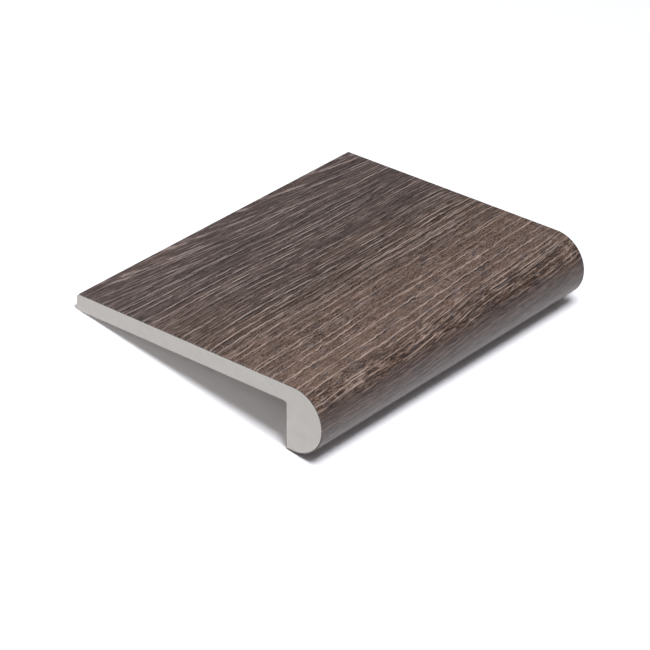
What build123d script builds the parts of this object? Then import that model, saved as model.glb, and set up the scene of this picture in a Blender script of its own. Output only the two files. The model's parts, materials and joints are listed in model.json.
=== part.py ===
from build123d import *
import math
import os

os.makedirs("parts", exist_ok=True)

# Sizes of the section in millimetres, taken with the tread plate level
overall_height = 26.0  # foot of the leg to the decor face
plate_thickness = 7.0  # underside of the plate to the decor face
plate_reach = 99.0  # back edge to the inner face of the leg
foot_width = 3.0  # flat of the foot, from the inner face of the leg to the start of the nose
film_thickness = 0.5  # decor film over the top, round the nose and under the foot
back_top_radius = 1.25  # bare edge of the core, where the film stops
back_bottom_radius = 1.0  # lower back edge of the plate
inner_corner_radius = 1.0  # between the plate's underside and the leg
sample_length = 150.0  # sawn length of the sample

# The nose is a full half round from the decor face to the foot
nose_radius = overall_height / 2
core_nose_radius = nose_radius - film_thickness
core_top = overall_height - film_thickness
plate_underside = overall_height - plate_thickness
film_start = back_top_radius - plate_reach

# Unheld, the moulding tips back until the plate's lower back edge meets the floor. The floor line then runs
# from the foot's inner corner, which is the origin of the section, to that rounded edge.
heel_run = plate_reach - back_bottom_radius
heel_rise = plate_underside + back_bottom_radius
heel_distance = math.hypot(heel_run, heel_rise)
rest_tilt = math.atan2(heel_rise, heel_run) - math.asin(back_bottom_radius / heel_distance)
tilt_cos = math.cos(rest_tilt)
tilt_sin = math.sin(rest_tilt)

# How far the tipped section reaches behind and in front of the foot's inner corner, used to centre the part
back_round_height = core_top - back_top_radius
back_extent = film_start * tilt_cos - back_round_height * tilt_sin - back_top_radius
front_extent = foot_width * tilt_cos - nose_radius * tilt_sin + nose_radius
foot_corner_x = -(back_extent + front_extent) / 2

section_plane = Plane(
    origin=(foot_corner_x, 0, 0),
    x_dir=(tilt_cos, 0, tilt_sin),
    z_dir=(0, -1, 0),
)

# Core: tread plate, half-round nose and leg in one extrusion
with BuildPart() as core_profile:
    with BuildSketch(section_plane):
        with BuildLine():
            leg_face = Line((0, film_thickness), (0, plate_underside))
            underside = Line(leg_face @ 1, (-plate_reach, plate_underside))
            back_face = Line(underside @ 1, (-plate_reach, core_top))
            top_face = Line(back_face @ 1, (foot_width, core_top))
            nose_face = ThreePointArc(
                top_face @ 1,
                (foot_width + core_nose_radius, nose_radius),
                (foot_width, film_thickness),
            )
            Line(nose_face @ 1, leg_face @ 0)
        make_face()
        rounded_corners = [
            (underside @ 0, inner_corner_radius),
            (back_face @ 0, back_bottom_radius),
            (top_face @ 0, back_top_radius),
        ]
        for corner, radius in rounded_corners:
            fillet(vertices().sort_by_distance(corner)[0], radius)
    extrude(amount=sample_length / 2, both=True)

# Film: one strip bonded over the top, round the nose and under the foot
with BuildPart() as decor_film:
    with BuildSketch(section_plane):
        with BuildLine():
            decor_top = Line((film_start, overall_height), (foot_width, overall_height))
            decor_nose = ThreePointArc(
                decor_top @ 1,
                (foot_width + nose_radius, nose_radius),
                (foot_width, 0),
            )
            Line(decor_nose @ 1, (0, 0))
            offset(amount=film_thickness, side=Side.RIGHT, closed=True)
        make_face()
    extrude(amount=sample_length / 2, both=True)

core_profile.part.label = "core_profile"
decor_film.part.label = "decor_film"
export_step(core_profile.part, "parts/core_profile.step")
export_step(decor_film.part, "parts/decor_film.step")
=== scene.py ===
import json
import math

import bpy
import numpy as np
from mathutils import Matrix, Vector


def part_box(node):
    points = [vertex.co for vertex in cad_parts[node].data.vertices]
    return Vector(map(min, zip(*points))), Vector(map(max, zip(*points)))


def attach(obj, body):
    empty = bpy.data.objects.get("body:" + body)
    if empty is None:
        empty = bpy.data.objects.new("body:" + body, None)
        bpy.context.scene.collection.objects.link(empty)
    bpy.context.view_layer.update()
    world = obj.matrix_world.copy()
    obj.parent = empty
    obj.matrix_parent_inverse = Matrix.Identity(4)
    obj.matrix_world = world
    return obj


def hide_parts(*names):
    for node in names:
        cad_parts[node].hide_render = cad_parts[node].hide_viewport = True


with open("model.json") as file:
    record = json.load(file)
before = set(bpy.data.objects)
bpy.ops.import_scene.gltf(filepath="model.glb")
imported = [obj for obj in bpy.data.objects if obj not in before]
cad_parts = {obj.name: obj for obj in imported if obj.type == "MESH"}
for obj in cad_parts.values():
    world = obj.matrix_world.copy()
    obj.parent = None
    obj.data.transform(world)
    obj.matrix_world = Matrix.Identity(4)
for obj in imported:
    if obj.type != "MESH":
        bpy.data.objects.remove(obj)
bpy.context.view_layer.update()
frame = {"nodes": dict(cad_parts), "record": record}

# Section of the moulding, in metres
NOSE_RADIUS = 0.013
FILM_THICKNESS = 0.0005

# Mesh of the film: cells are fine across the grain and longer along it
CELL_ACROSS = 0.00025
CELL_ALONG = 0.001
SHARP_EDGE_ANGLE = math.radians(50.0)

# Embossing of the film in millimetres: the depth where it is plain, what a dark line adds to it, what a pale
# line takes away, and how much the fine streaks change it
EMBOSS_PLAIN = 0.015
EMBOSS_DARK = 0.025
EMBOSS_PALE = 0.015
EMBOSS_FINE = 0.02

# Relief of the film that is finer than its mesh, in millimetres: fine streaks, then flecks and speckles
PORES_FINE = 0.03
PORES_FLECK = 0.02

# Film: each pair of colours runs from the cool hue behind to the warm hue in front
FILM_DEEP = ((0.031, 0.022, 0.022), (0.038, 0.021, 0.015))
FILM_LIGHT = ((0.19, 0.142, 0.133), (0.268, 0.178, 0.138))
FILM_RIDGE = ((0.37, 0.291, 0.273), (0.52, 0.398, 0.343))
# This colour is for dark print and for shade painted into the grooves beside the pale lines
FILM_DARK_PRINT_AND_GROOVE_SHADE = (0.012, 0.011, 0.014)
FILM_ROUGHNESS = 0.38
FILM_SPECULAR = 0.45

# Core: each pair of colours runs from the darker to the lighter end of its mottle; the depth is in metres
CORE_SKIN = ((0.69, 0.63, 0.58), (0.76, 0.7, 0.65))
CORE_CUT = ((0.75, 0.721, 0.688), (0.835, 0.806, 0.777))
CORE_MARK_DEPTH = 0.00003
CORE_ROUGHNESS = 0.5
CORE_SPECULAR = 0.4

# Floor: its colour as it lights the object and as it is seen, and between which distances from the object,
# in metres, it turns to plain white where it is seen
FLOOR_SIZE = 8.0
FLOOR_COLOUR = (0.9, 0.9, 0.9)
FLOOR_COLOUR_SEEN = (1.27, 1.29, 1.36)
FLOOR_FADE = (0.2, 0.6)

# Light tent: the world's strength at the horizon and its gain towards the zenith, then the lamps, each with
# its name, place, size in metres and power in watts
WORLD_COLOUR = (1.0, 0.975, 0.96, 1.0)
WORLD_AT_HORIZON = 0.04
WORLD_GAIN_UPWARDS = 0.2
LAMPS = (
    ("key", (0.29, -0.2, 1.36), 0.55, 14.6),
    ("fill", (-0.45, -0.5, 0.2), 0.35, 0.36),
)

# Camera, turned and raised from the plate and aimed at a point of the decor face: lens and sensor in
# millimetres, distances in metres
CAMERA_LENS = 176.0
CAMERA_SENSOR = 36.0
CAMERA_REACH = 100.0
CAMERA_AZIMUTH = math.radians(40.1)
CAMERA_ELEVATION = math.radians(29.43)
CAMERA_ROLL = math.radians(0.17)
CAMERA_DISTANCE = 1.1148
CAMERA_AIM_BEHIND_NOSE = 0.01928
CAMERA_AIM_ALONG = -0.0355

MM_PER_METRE = 1000.0
METRES_PER_MM = 0.001

# The plate's own directions, as the moulding lies tipped back on the floor
mounts = {mount["name"]: mount for mount in frame["record"]["mounts"]}
plate_up = -Vector(mounts["tread_seat"]["axis"]).normalized()
plate_forward = -Vector(mounts["riser_face"]["axis"]).normalized()
length_way = Vector((0.0, 1.0, 0.0))

# The nose is the highest and foremost part of the film, so the film's box gives the nose's centre
film_low, film_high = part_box("decor_film")
nose_center = Vector((film_high.x - NOSE_RADIUS, 0.0, film_high.z - NOSE_RADIUS))
half_length = film_high.y

# Runs of the film along its section: the decor face, the half round of the nose and the foot
tilt_sin = plate_forward.z
tilt_cos = plate_forward.x
top_run = (nose_center.x - film_low.x - NOSE_RADIUS * tilt_sin) / tilt_cos
nose_run = math.pi * NOSE_RADIUS
foot_run = (nose_center.z - NOSE_RADIUS * tilt_cos) / tilt_sin
film_run = top_run + nose_run + foot_run


def moulding_point(forward, along, up):
    """A point of the moulding, from distances to the nose's centre in the plate's own directions."""
    return nose_center + plate_forward * forward + length_way * along + plate_up * up


class Field:
    """A number that varies over a surface: a node's output that can be used in sums."""

    def __init__(self, tree, socket):
        self.tree = tree
        self.socket = socket

    def math(self, operation, *others, first=None):
        """A math node over this field and the others, or over first and this field."""
        node = self.tree.nodes.new("ShaderNodeMath")
        node.operation = operation
        values = (self, *others) if first is None else (first, self)
        for socket, value in zip(node.inputs, values):
            feed(self.tree, socket, value)
        return Field(self.tree, node.outputs[0])

    def __add__(self, other):
        return self.math("ADD", other)

    def __sub__(self, other):
        return self.math("SUBTRACT", other)

    def __mul__(self, other):
        return self.math("MULTIPLY", other)

    def __truediv__(self, other):
        return self.math("DIVIDE", other)

    def __radd__(self, other):
        return self.math("ADD", other)

    def __rsub__(self, other):
        return self.math("SUBTRACT", first=other)

    def __rmul__(self, other):
        return self.math("MULTIPLY", other)

    def __abs__(self):
        return self.math("ABSOLUTE")

    def rise(self, low, high):
        """Smooth step from 0 at low to 1 at high."""
        node = self.tree.nodes.new("ShaderNodeMapRange")
        node.interpolation_type = "SMOOTHSTEP"
        feed(self.tree, node.inputs["Value"], self)
        node.inputs["From Min"].default_value = low
        node.inputs["From Max"].default_value = high
        return Field(self.tree, node.outputs["Result"])

    def fall(self, low, high):
        """Smooth step from 1 at low to 0 at high."""
        return 1.0 - self.rise(low, high)

    def between(self, outside, inside):
        """For a mask: a number that is outside where the mask is 0 and inside where it is 1."""
        return outside + (inside - outside) * self

    def larger(self, other):
        return self.math("MAXIMUM", other)


def feed(tree, socket, value):
    """Links a field to a socket, or sets the socket to a plain number."""
    if isinstance(value, Field):
        tree.links.new(value.socket, socket)
    else:
        socket.default_value = value


def split(tree, vector):
    """The three fields of a vector socket."""
    node = tree.nodes.new("ShaderNodeSeparateXYZ")
    tree.links.new(vector, node.inputs[0])
    return [Field(tree, socket) for socket in node.outputs]


def noise(across, along, detail=2.0, roughness=0.5):
    """Soft noise around 0, about -0.5 to 0.5, over two fields counted in noise cells."""
    tree = across.tree
    vector = tree.nodes.new("ShaderNodeCombineXYZ")
    feed(tree, vector.inputs["X"], across)
    feed(tree, vector.inputs["Y"], along)
    node = tree.nodes.new("ShaderNodeTexNoise")
    node.noise_dimensions = "2D"
    tree.links.new(vector.outputs[0], node.inputs["Vector"])
    node.inputs["Scale"].default_value = 1.0
    node.inputs["Detail"].default_value = detail
    node.inputs["Roughness"].default_value = roughness
    return Field(tree, node.outputs[0]) - 0.5


def streaks(across, along, width, length, shift=(0.0, 0.0), detail=2.0):
    """Noise in cells of width by length millimetres. The shift, in cells, picks another part of it."""
    return noise(across / width + shift[0], along / length + shift[1], detail)


def slanted(across, along, slant):
    """The two directions of the film turned, so that streaks over them lie at a slant."""
    return across + along * slant, along - across * slant


def strongest(masks):
    """The largest of several masks at each point."""
    result = masks[0]
    for mask in masks[1:]:
        result = result.larger(mask)
    return result


def nearest_line(count, unevenness=0.85):
    """The place of the nearest of a row of unevenly spaced lines, one to each unit of count."""
    tree = count.tree
    node = tree.nodes.new("ShaderNodeTexVoronoi")
    node.voronoi_dimensions = "1D"
    feed(tree, node.inputs["W"], count)
    node.inputs["Scale"].default_value = 1.0
    node.inputs["Randomness"].default_value = unevenness
    return Field(tree, node.outputs["W"])


def line_noise(line, along, length, spread, seed, roughness=0.5):
    """Noise along each line in stretches of length millimetres. The spread makes neighbours unlike."""
    return noise(line * spread + seed, along / length, roughness=roughness)


def beside_lines(count, gap, along, seed, width, wiggle):
    """Which of a row of uneven lines is nearest, and how far to its nose side a point lies.

    There is one line to each unit of count, so about gap millimetres apart. The distance is in widths of
    about width millimetres, which swell and shrink along the line. Each line strays by itself, by up to
    about half of wiggle millimetres.
    """
    line = nearest_line(count)
    stray = line_noise(line, along, length=5.0, spread=5.3, seed=seed + 7.0, roughness=0.7) * wiggle
    swell = 1.0 + 0.9 * line_noise(line, along, length=7.0, spread=2.9, seed=seed + 50.0)
    side = ((count - line) * gap + stray) / (width * swell)
    return line, side


def line_strength(line, along, seed):
    """How strong each line is, which changes slowly along it."""
    return 0.2 + line_noise(line, along, length=45.0, spread=11.3, seed=seed).rise(-0.15, 0.15)


def dashes(line, side, along, dash, seed):
    """Masks of pale lines and of the painted shade in the groove beside each, in dashes of about dash
    millimetres.
    """
    strength = line_strength(line, along, seed)
    presence = line_noise(line, along, length=dash, spread=3.7, seed=seed)
    pale = side.rise(-0.65, -0.2) * side.fall(0.1, 0.36) * presence.rise(-0.1, 0.08) * strength
    dark = side.rise(0.12, 0.36) * side.fall(0.46, 0.82) * presence.rise(-0.08, 0.1) * strength
    return pale, dark


def chained_strokes(line, side, along, length, step, seed):
    """Masks like those of dashes, but of short strokes that overlap and cross their line at a slant.

    Each stroke is about length millimetres long and crosses the line by step widths. There are two sets, and
    one starts halfway along the other's strokes.
    """
    pales = []
    darks = []
    for turn in (0, 1):
        stagger = 2.0 * line_noise(line, along, length=25.0, spread=3.1, seed=seed)
        count = along / length + stagger + 0.5 * turn
        cell = count.math("FLOOR")
        share = count - cell - 0.5
        strength = noise(line * 5.1 + seed, cell * 9.7 + 3.0 * turn).rise(-0.25, 0.2)
        shift = noise(line * 7.7 + seed, cell * 6.3 + 50.0 + 3.0 * turn)
        local = side + share * step + shift
        taper = abs(share).fall(0.25, 0.5) * strength * line_strength(line, along, seed)
        pales.append(local.rise(-0.4, -0.18) * local.fall(0.0, 0.18) * taper)
        darks.append(local.rise(0.15, 0.4) * local.fall(0.45, 0.85) * taper * shift.rise(-0.1, 0.15))
    return strongest(pales), strongest(darks)


def slanting_dashes(across, along):
    """Masks of the oblique dashes along the back edge: two sets that take turns along the length."""
    length = 64.0
    slant = 0.17
    curve = 0.0006
    gap = 4.0
    shuffle = noise(across / 16.0 + 70.0, 0.0, detail=1.0)
    pales = []
    darks = []
    for turn in (0, 1):
        seed = 20.0 + 9.0 * turn
        count = along / length + shuffle + 0.5 * turn
        cell = count.math("FLOOR")
        share = count - cell - 0.5
        offset = share * length
        bend = offset * offset * curve
        track = (across - slant * offset + bend) / gap + cell * 13.7
        line, side = beside_lines(track, gap, offset, seed, width=1.3, wiggle=0.8)
        pale, dark = dashes(line, side, offset, dash=22.0, seed=seed)
        present = abs(share).fall(0.25, 0.46)
        pales.append(pale * present)
        darks.append(dark * present)
    return strongest(pales), strongest(darks)


def scratches(across, along, width, length, seed):
    """Mask of thin uneven lines along the grain: where a stretched noise crosses its middle."""
    level = abs(streaks(across, along, width, length, shift=(seed, 0.0), detail=1.0))
    presence = streaks(across, along, width=5.0, length=16.0, shift=(seed, 0.0))
    return level.fall(0.0, 0.07) * presence.rise(-0.1, 0.12)


class Grain:
    """Wood grain of the film over (across, along), in millimetres from its back edge and from its middle.

    pale and dark are masks of the lines, base is the brightness between them, warm is its hue, depth is the
    embossing and pores is the fine relief that the mesh is too coarse for, both in millimetres. dark is
    partly dark print and partly shade painted into the grooves beside the pale lines, and base and warm also
    hold painted light, shade and sheen, as marked in their methods. The zones in its methods begin and end
    at millimetres from the back edge.
    """

    def __init__(self, tree, coordinate):
        self.across, self.along, _ = split(tree, coordinate)
        self.make_zones()
        self.make_place()
        self.make_growth_lines()
        self.make_small_lines()
        self.make_ground()
        self.pale, self.dark = self.lines()
        self.base = self.brightness() + self.texture() * self.fade
        self.warm = self.hue()
        relief = EMBOSS_DARK * self.dark_line - EMBOSS_PALE * self.pale_line - EMBOSS_FINE * self.fine
        self.depth = EMBOSS_PLAIN + relief * self.fade
        self.pores = (self.fine * PORES_FINE + (self.fleck + self.speckle) * PORES_FLECK) * self.fade

    def make_zones(self):
        """Masks of the zones from the back edge to the foot, each 1 inside and 0 outside."""
        across = self.across
        frayed = across + 5.0 * streaks(across, self.along, width=2.0, length=9.0)
        self.back = across.fall(9.0, 19.0)
        self.front = across.rise(48.0, 84.0)
        self.nose = across.rise(98.0, 106.0)
        self.strip = across.rise(107.0, 111.0)
        # The lower nose: there the ground is painted cooler and lighter as the sheen of the floor's
        # reflection, and its lines are faded as if washed out by it; its relief is made smoother too
        self.lower = frayed.rise(112.0, 117.0)
        self.fade = self.lower.between(1.0, 0.3)

    def make_place(self):
        """The place across the grain, after its growth lines lean, wander, sway and zigzag."""
        across = self.across
        along = self.along
        lean = 0.06 - across * 0.0012
        wander = 5.0 * streaks(across, along, width=45.0, length=80.0, detail=1.0)
        sway = streaks(across, along, width=14.0, length=9.0, shift=(30.0, 0.0))
        sway = sway * self.front.between(0.4, 1.0) * self.nose.between(1.0, 0.6)
        jag = streaks(*slanted(across, along, slant=0.9), width=2.2, length=5.0, shift=(0.0, 3.0))
        jag = jag * self.front * self.nose.between(0.9, 0.15)
        self.place = across - lean * along + wander + sway + jag

    def make_growth_lines(self):
        """Growth lines: close and straight behind, wide apart and broken in front, close round the nose."""
        # Lines to the millimetre: 1/4.6 all over, 1/4.76 more behind 80 mm and 1/10 more beyond 103 mm
        count = (
            self.place / 4.6
            + self.place.math("SMOOTH_MIN", 80.0, 16.0) / 4.76
            + self.place.math("SMOOTH_MAX", 103.0, 6.0) / 10.0
        )
        gap = 2.34 + 2.26 * self.across.rise(72.0, 88.0) - 1.45 * self.across.rise(100.0, 106.0)
        width = 1.0 - 0.1 * self.front - 0.5 * self.nose
        self.wiggle = 0.4 + 0.35 * self.front - 0.4 * self.nose
        line, side = beside_lines(count, gap, self.along, seed=0.0, width=width, wiggle=self.wiggle)
        pale_dash, dark_dash = dashes(line, side, self.along, self.front.between(12.0, 28.0), seed=0.0)
        pale_chain, dark_chain = chained_strokes(line, side, self.along, length=12.0, step=1.1, seed=0.0)
        pale = pale_dash * self.front.between(0.75, 0.3) + pale_chain * self.front.between(0.45, 1.15)
        dark = dark_dash * self.front.between(0.9, 0.25) + dark_chain * self.front.between(0.5, 0.7)
        pale_slant, dark_slant = slanting_dashes(self.across, self.along)
        dark_slant = dark_slant * self.across.rise(2.0, 8.0)
        self.pale_line = pale * (1.0 - self.back) + 1.25 * pale_slant * self.back
        self.dark_line = dark * (1.0 - self.back) + 0.6 * dark_slant * self.back
        # Painted light and shade of a sloping relief that the mesh lacks: the ground is lighter on the back
        # side of each line and darker on its nose side
        before = side.rise(-2.0, -0.3) * side.fall(-0.3, 0.4)
        beyond = side.rise(0.3, 0.6) * side.fall(0.6, 2.0)
        self.painted_slope_shading = before - beyond

    def make_small_lines(self):
        """Thinner lines between the growth lines: hairs, scratches and pores."""
        gap = 1.4
        seed = 33.0
        count = self.place / gap + 30.0
        line, side = beside_lines(count, gap, self.along, seed, width=0.6, wiggle=self.wiggle * 0.5)
        pale_hair, dark_hair = dashes(line, side, self.along, dash=9.0, seed=seed)
        hair = 0.65 - 0.2 * self.front + 0.4 * self.nose
        pale_scratch = scratches(self.place, self.along, width=1.7, length=10.0, seed=44.0)
        dark_scratch = scratches(self.place, self.along, width=1.5, length=8.0, seed=76.0)
        scratch = 0.25 + 0.1 * self.front + 0.15 * self.nose
        pore = streaks(self.place, self.along, width=0.4, length=5.0, shift=(90.0, 0.0), detail=1.0)
        self.pale_detail = hair * pale_hair + scratch * pale_scratch
        self.dark_detail = hair * dark_hair + scratch * dark_scratch + 0.3 * pore.rise(0.1, 0.24)

    def make_ground(self):
        """The noises of the ground between the lines."""
        across = self.across
        along = self.along
        grain = self.place
        turned = slanted(across, along, slant=0.9)
        self.fleck = streaks(*turned, width=0.7, length=2.6, shift=(0.0, 17.0), detail=1.0)
        self.fine = streaks(grain, along, width=0.9, length=8.0, shift=(5.0, 0.0))
        self.speckle = streaks(across, along, width=0.3, length=0.55, shift=(8.0, 0.0), detail=0.0)
        self.thread = streaks(across, along, width=0.7, length=6.0, shift=(61.0, 0.0))
        self.band = streaks(grain, along, width=6.5, length=130.0, shift=(5.0, 0.0), detail=3.0)
        self.patch = streaks(across, along, width=22.0, length=45.0, shift=(40.0, 0.0))
        sliver = streaks(grain, along, width=2.2, length=9.0, shift=(33.0, 0.0), detail=1.0)
        self.sliver = sliver.rise(0.1, 0.24) * self.front

    def painted_lump_shading(self):
        """Fine lumps painted as if lit: pale on one side, painted shade on the other."""
        lump = {"width": 0.8, "length": 1.3, "shift": (3.0, 0.0)}
        return streaks(self.across, self.along, **lump) - streaks(self.across + 0.35, self.along, **lump)

    def painted_crease_highlights(self):
        """Thin pale creases in front, painted as highlights of fine relief, some along the grain and some
        across it at a slant.
        """
        turned = slanted(self.across, self.along, slant=0.7)
        oblique = streaks(*turned, width=0.75, length=2.0, detail=1.0)
        lengthwise = streaks(self.place, self.along, width=0.75, length=2.4, shift=(14.0, 0.0), detail=1.0)
        creases = abs(oblique).fall(0.0, 0.1).larger(abs(lengthwise).fall(0.0, 0.09))
        return creases * (self.front - 0.85 * self.nose)

    def ripple(self):
        """Faint bars across the grain, in places, just behind the nose."""
        bars = streaks(self.across, self.along, width=14.0, length=1.7, shift=(11.0, 0.0))
        presence = streaks(self.across, self.along, width=18.0, length=16.0, shift=(0.0, 90.0))
        zone = self.across.rise(76.0, 88.0) * self.across.fall(99.0, 105.0)
        return bars * presence.rise(0.0, 0.2) * zone

    def texture(self):
        """Variation of the ground's brightness."""
        return (
            # Painted light and shade beside each line
            0.1 * self.painted_slope_shading * self.front
            # Painted highlights on fine creases
            + 0.75 * self.painted_crease_highlights()
            + self.fleck * self.nose.between(0.5, 0.15)
            + self.fine * self.front.between(1.0, 0.85)
            + self.speckle * self.front.between(0.3, 1.4)
            # Painted light and shade of fine lumps
            + self.painted_lump_shading() * self.front.between(0.3, 1.8)
            + 2.6 * self.thread * self.strip
            + 2.2 * self.ripple()
            + 0.3 * self.band
            + 0.14 * self.patch
        )

    def brightness(self):
        """Brightness of the ground, zone by zone from the back edge to the foot, with painted sheen and
        shade.
        """
        across = self.across
        return (
            0.375
            - 0.075 * self.front
            + 0.1 * across.fall(0.0, 14.0)
            - 0.07 * across.rise(36.0, 46.0)
            - 0.19 * across.rise(52.0, 64.0)
            + 0.1 * across.rise(50.0, 100.0)
            + 0.24 * across.rise(84.0, 98.0)
            - 0.36 * across.rise(104.0, 109.0)
            + 0.16 * self.nose
            # Painted sheen: lighter on the lower nose
            + 0.15 * self.lower
            # Painted shade: darker towards the far end
            - 0.0008 * self.along
        )

    def hue(self):
        """How warm the ground is: cool behind and warm in front, with grey slivers; cooler on the lower nose
        as painted sheen.
        """
        zones = 0.05 + 0.9 * self.across.rise(15.0, 92.0) - 0.7 * self.lower
        return zones - 0.9 * self.sliver + 0.35 * self.patch + 0.8 * self.band

    def lines(self):
        """Masks of all the lines, pale and dark, stronger in some zones and calmer in others."""
        across = self.across
        patches = streaks(across, self.along, width=13.0, length=38.0, shift=(20.0, 0.0), detail=1.0)
        bold = 0.7 * across.rise(54.0, 60.0) + 0.9 * across.rise(84.0, 92.0) + 0.3 * self.nose
        calm = 0.45 * across.rise(34.0, 42.0) * across.fall(50.0, 57.0)
        calm = calm + 0.5 * across.rise(66.0, 72.0) * across.fall(80.0, 86.0)
        stress = 1.3 - 0.15 * self.front + 0.6 * patches + bold
        stress = stress * self.strip.between(1.0, 0.3) * (1.0 - calm)
        pale = self.pale_line * stress + self.pale_detail
        dark = self.dark_line * stress * self.front.between(1.0, 0.8) + self.dark_detail
        return pale * self.fade, dark * self.fade


def film_section(run):
    """Points of the film's outer face at distances run along its section, and which way it faces there."""
    turn = np.clip((run - top_run) / NOSE_RADIUS, 0.0, math.pi)
    straight = np.where(run < top_run, run - top_run, np.minimum(top_run + nose_run - run, 0.0))
    facing = np.outer(np.sin(turn), plate_forward) + np.outer(np.cos(turn), plate_up)
    outline = np.array(nose_center) + np.outer(straight, plate_forward) + NOSE_RADIUS * facing
    return outline, facing


def film_faces(columns, rows):
    """Faces of the film's strip, over vertices in the order that film_mesh gives them."""
    grid = np.arange(columns * rows).reshape(columns, rows)
    near_row = columns * rows + np.arange(columns)
    far_row = near_row + columns
    outer = np.stack([grid[:-1, :-1], grid[1:, :-1], grid[1:, 1:], grid[:-1, 1:]], axis=-1)
    inner = np.stack([near_row[:-1], far_row[:-1], far_row[1:], near_row[1:]], axis=-1)
    near = np.stack([near_row[:-1], near_row[1:], grid[1:, 0], grid[:-1, 0]], axis=-1)
    far = np.stack([grid[:-1, -1], grid[1:, -1], far_row[1:], far_row[:-1]], axis=-1)
    quads = np.concatenate([outer.reshape(-1, 4), inner, near, far])
    back_edge = [*grid[0].tolist(), int(far_row[0]), int(near_row[0])]
    foot_edge = [int(near_row[-1]), int(far_row[-1]), *grid[-1][::-1].tolist()]
    return quads.tolist() + [back_edge, foot_edge]


def film_mesh():
    """The film as a closed strip: outer face, inner face against the core, sawn ends and two long edges."""
    columns = round(film_run / CELL_ACROSS) + 1
    rows = round(2.0 * half_length / CELL_ALONG) + 1
    run = np.linspace(0.0, film_run, columns)
    along = np.linspace(-half_length, half_length, rows)
    outline, facing = film_section(run)
    lining = outline - FILM_THICKNESS * facing

    # Vertices: the outer face column by column, then the inner face's near and far ends
    outer = np.repeat(outline[:, None, :], rows, axis=1)
    outer[:, :, 1] = along
    near = lining.copy()
    near[:, 1] = -half_length
    far = lining.copy()
    far[:, 1] = half_length
    points = np.concatenate([outer.reshape(-1, 3), near, far])
    mesh = bpy.data.meshes.new("decor_film")
    mesh.from_pydata(points.tolist(), [], film_faces(columns, rows))

    # Each vertex keeps its place on the unrolled film and its outward direction, zero on the inner face
    run_mm = np.concatenate([np.repeat(run, rows), run, run]) * MM_PER_METRE
    along_mm = points[:, 1] * MM_PER_METRE
    store_vectors(mesh, "grain", np.stack([run_mm, along_mm, np.zeros_like(run_mm)], axis=-1))
    outward = np.concatenate([np.repeat(facing, rows, axis=0), np.zeros((2 * columns, 3))])
    store_vectors(mesh, "outward", outward)
    return mesh


def store_vectors(mesh, name, vectors):
    """Keeps one vector for each vertex as a named attribute."""
    attribute = mesh.attributes.new(name, "FLOAT_VECTOR", "POINT")
    attribute.data.foreach_set("vector", vectors.astype(np.float32).ravel())


def read_vectors(tree, name):
    """The vectors kept under a name, as a socket for geometry nodes."""
    node = tree.nodes.new("GeometryNodeInputNamedAttribute")
    node.data_type = "FLOAT_VECTOR"
    node.inputs["Name"].default_value = name
    return node.outputs["Attribute"]


def emboss_nodes():
    """Geometry nodes that press each vertex inwards by the depth of the grain."""
    tree = bpy.data.node_groups.new("emboss", "GeometryNodeTree")
    for way in ("INPUT", "OUTPUT"):
        tree.interface.new_socket("Geometry", in_out=way, socket_type="NodeSocketGeometry")
    start = tree.nodes.new("NodeGroupInput")
    end = tree.nodes.new("NodeGroupOutput")
    wood = Grain(tree, read_vectors(tree, "grain"))
    push = tree.nodes.new("ShaderNodeVectorMath")
    push.operation = "SCALE"
    tree.links.new(read_vectors(tree, "outward"), push.inputs[0])
    feed(tree, push.inputs["Scale"], wood.depth * -METRES_PER_MM)
    move = tree.nodes.new("GeometryNodeSetPosition")
    tree.links.new(start.outputs[0], move.inputs["Geometry"])
    tree.links.new(push.outputs[0], move.inputs["Offset"])
    tree.links.new(move.outputs[0], end.inputs[0])
    return tree


def emboss(film):
    """Presses the grain into the film's outer face and keeps the result as its mesh."""
    modifier = film.modifiers.new("emboss", "NODES")
    modifier.node_group = emboss_nodes()
    scene_graph = bpy.context.evaluated_depsgraph_get()
    pressed = bpy.data.meshes.new_from_object(film.evaluated_get(scene_graph))
    film.modifiers.clear()
    film.data = pressed
    pressed.polygons.foreach_set("use_smooth", [True] * len(pressed.polygons))
    pressed.set_sharp_from_angle(angle=SHARP_EDGE_ANGLE)


def new_material(name):
    """An empty node material and its principled shader."""
    material = bpy.data.materials.new(name)
    material.use_nodes = True
    return material, material.node_tree, material.node_tree.nodes["Principled BSDF"]


def blend(tree, share, low, high):
    """Mixes two colours, each a socket or an RGB triple, by a field."""
    node = tree.nodes.new("ShaderNodeMix")
    node.data_type = "RGBA"
    feed(tree, node.inputs[0], share)
    for socket, colour in ((node.inputs[6], low), (node.inputs[7], high)):
        if isinstance(colour, tuple):
            socket.default_value = (*colour, 1.0)
        else:
            tree.links.new(colour, socket)
    return node.outputs[2]


def bump(tree, shader, height):
    """Fine relief in metres, from a field."""
    node = tree.nodes.new("ShaderNodeBump")
    node.inputs["Distance"].default_value = 1.0
    feed(tree, node.inputs["Height"], height)
    tree.links.new(node.outputs[0], shader.inputs["Normal"])


def film_material():
    """Printed wood film: grey-brown with pale growth lines, each with a groove beside it that is painted
    dark as shade.
    """
    material, tree, shader = new_material("wood_film")
    read = tree.nodes.new("ShaderNodeAttribute")
    read.attribute_name = "grain"
    wood = Grain(tree, read.outputs["Vector"])
    deep = blend(tree, wood.warm, *FILM_DEEP)
    light = blend(tree, wood.warm, *FILM_LIGHT)
    ridge = blend(tree, wood.warm, *FILM_RIDGE)
    ground = blend(tree, wood.base, deep, light)
    lined = blend(tree, wood.pale, ground, ridge)
    # Dark print, and shade painted into the grooves beside the pale lines
    colour = blend(tree, wood.dark, lined, FILM_DARK_PRINT_AND_GROOVE_SHADE)
    tree.links.new(colour, shader.inputs["Base Color"])
    feed(tree, shader.inputs["Roughness"], FILM_ROUGHNESS + 0.1 * wood.dark - 0.2 * wood.pores)
    shader.inputs["Specular IOR Level"].default_value = FILM_SPECULAR
    bump(tree, shader, wood.pores * METRES_PER_MM)
    return material


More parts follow.
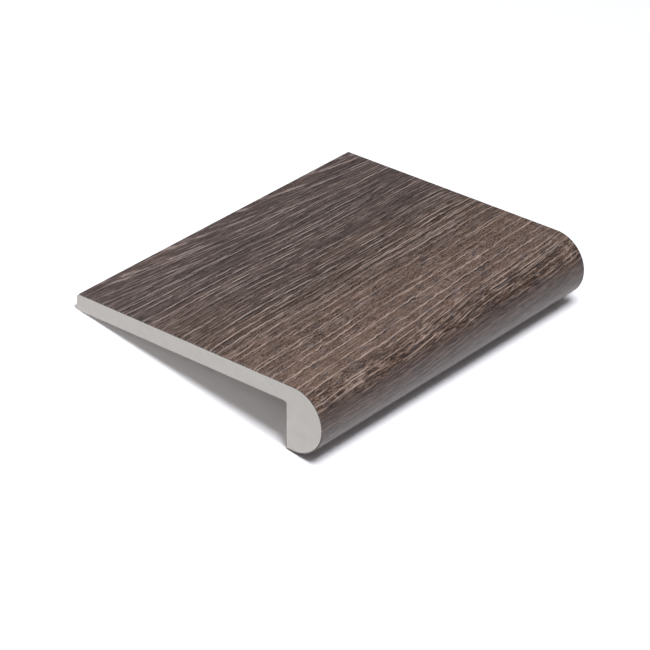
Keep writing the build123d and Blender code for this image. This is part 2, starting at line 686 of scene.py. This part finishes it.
def core_material():
    """Pale grey extruded PVC, a little creamier on the extruded faces than at the sawn ends."""
    material, tree, shader = new_material("pvc_core")
    point = tree.nodes.new("ShaderNodeTexCoord").outputs["Object"]
    across, along, height = [part * MM_PER_METRE for part in split(tree, point)]
    normal = tree.nodes.new("ShaderNodeNewGeometry").outputs["Normal"]
    _, lengthways, _ = split(tree, normal)
    sawn = abs(lengthways).rise(0.8, 0.95)

    # Die lines along the length on the extruded faces, saw marks across the ends, and a soft mottle
    die = streaks(across + height * 1.7, along, width=0.9, length=60.0, detail=3.0)
    saw = streaks(across * 0.5 + height, height * 0.5 - across, width=0.35, length=16.0, detail=3.0)
    mottle = noise(across / 5.0 + along / 9.0, height / 4.0 - along / 17.0, detail=4.0, roughness=0.6)
    marks = saw * sawn + die * (1.0 - sawn)
    shade = 0.5 + 1.2 * mottle + 0.8 * marks
    skin = blend(tree, shade, *CORE_SKIN)
    cut = blend(tree, shade, *CORE_CUT)
    colour = blend(tree, sawn, skin, cut)
    tree.links.new(colour, shader.inputs["Base Color"])
    feed(tree, shader.inputs["Roughness"], CORE_ROUGHNESS + 0.1 * sawn + 0.3 * marks)
    shader.inputs["Specular IOR Level"].default_value = CORE_SPECULAR
    bump(tree, shader, marks * CORE_MARK_DEPTH)
    return material


def make_film():
    """The embossed film, which takes the place of the smooth one."""
    film = bpy.data.objects.new("decor_film_embossed", film_mesh())
    bpy.context.scene.collection.objects.link(film)
    emboss(film)
    film.data.materials.append(film_material())
    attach(film, "root")
    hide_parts("decor_film")


def dress_core():
    """Gives the core's own solid its material."""
    core = frame["nodes"]["core_profile"]
    core.data.materials.clear()
    core.data.materials.append(core_material())


def floor_material():
    """White that keeps the object's shadow, a little overexposed where it is seen, as in a product shot.

    It is seen by the camera, in reflections and through clear things. Away from the object it is then plain
    white, so that the floor has no horizon.
    """
    material, tree, shader = new_material("floor")
    tree.nodes.remove(shader)
    path = tree.nodes.new("ShaderNodeLightPath")
    kinds = ("Is Camera Ray", "Is Glossy Ray", "Is Transmission Ray")
    seen = strongest([Field(tree, path.outputs[kind]) for kind in kinds])
    matt = tree.nodes.new("ShaderNodeBsdfDiffuse")
    tree.links.new(blend(tree, seen, FLOOR_COLOUR, FLOOR_COLOUR_SEEN), matt.inputs["Color"])
    reach = tree.nodes.new("ShaderNodeVectorMath")
    reach.operation = "LENGTH"
    point = tree.nodes.new("ShaderNodeTexCoord").outputs["Object"]
    tree.links.new(point, reach.inputs[0])
    away = Field(tree, reach.outputs["Value"]).rise(*FLOOR_FADE)
    plain = tree.nodes.new("ShaderNodeEmission")
    mixed = tree.nodes.new("ShaderNodeMixShader")
    feed(tree, mixed.inputs[0], seen * away)
    tree.links.new(matt.outputs[0], mixed.inputs[1])
    tree.links.new(plain.outputs[0], mixed.inputs[2])
    tree.links.new(mixed.outputs[0], tree.nodes["Material Output"].inputs["Surface"])
    return material


def make_floor():
    """A level white floor under the moulding."""
    bpy.ops.mesh.primitive_plane_add(size=FLOOR_SIZE)
    floor = bpy.context.object
    floor.name = "floor"
    floor.data.materials.append(floor_material())


def make_world():
    """Soft light from all round, brighter overhead."""
    world = bpy.data.worlds.new("studio")
    bpy.context.scene.world = world
    world.use_nodes = True
    tree = world.node_tree
    background = tree.nodes["Background"]
    background.inputs["Color"].default_value = WORLD_COLOUR
    direction = tree.nodes.new("ShaderNodeTexCoord").outputs["Generated"]
    _, _, height = split(tree, direction)
    feed(tree, background.inputs["Strength"], WORLD_AT_HORIZON + WORLD_GAIN_UPWARDS * height)


def add_lamp(name, location, size, power):
    """A round soft lamp aimed at the object."""
    lamp = bpy.data.lights.new(name, "AREA")
    lamp.shape = "DISK"
    lamp.size = size
    lamp.energy = power
    light = bpy.data.objects.new(name, lamp)
    bpy.context.scene.collection.objects.link(light)
    light.location = location
    light.rotation_mode = "QUATERNION"
    light.rotation_quaternion = (-light.location).to_track_quat("-Z", "Y")


def make_camera():
    """The photograph's camera, placed by its angles to the plate."""
    camera = bpy.data.objects.new("camera", bpy.data.cameras.new("camera"))
    bpy.context.scene.collection.objects.link(camera)
    camera.data.lens = CAMERA_LENS
    camera.data.sensor_width = CAMERA_SENSOR
    camera.data.clip_end = CAMERA_REACH
    flat = math.cos(CAMERA_ELEVATION)
    back = (
        plate_forward * (math.sin(CAMERA_AZIMUTH) * flat)
        - length_way * (math.cos(CAMERA_AZIMUTH) * flat)
        + plate_up * math.sin(CAMERA_ELEVATION)
    )
    right = plate_up.cross(back).normalized()
    up = back.cross(right)
    rolled_right = right * math.cos(CAMERA_ROLL) + up * math.sin(CAMERA_ROLL)
    rolled_up = back.cross(rolled_right)
    aim = moulding_point(-CAMERA_AIM_BEHIND_NOSE, CAMERA_AIM_ALONG, NOSE_RADIUS)
    turn = Matrix((rolled_right, rolled_up, back)).transposed().to_4x4()
    camera.matrix_world = Matrix.Translation(aim + back * CAMERA_DISTANCE) @ turn
    bpy.context.scene.camera = camera


make_film()
dress_core()
make_floor()
make_world()
for lamp_settings in LAMPS:
    add_lamp(*lamp_settings)
make_camera()
bpy.context.scene.view_settings.view_transform = "Standard"
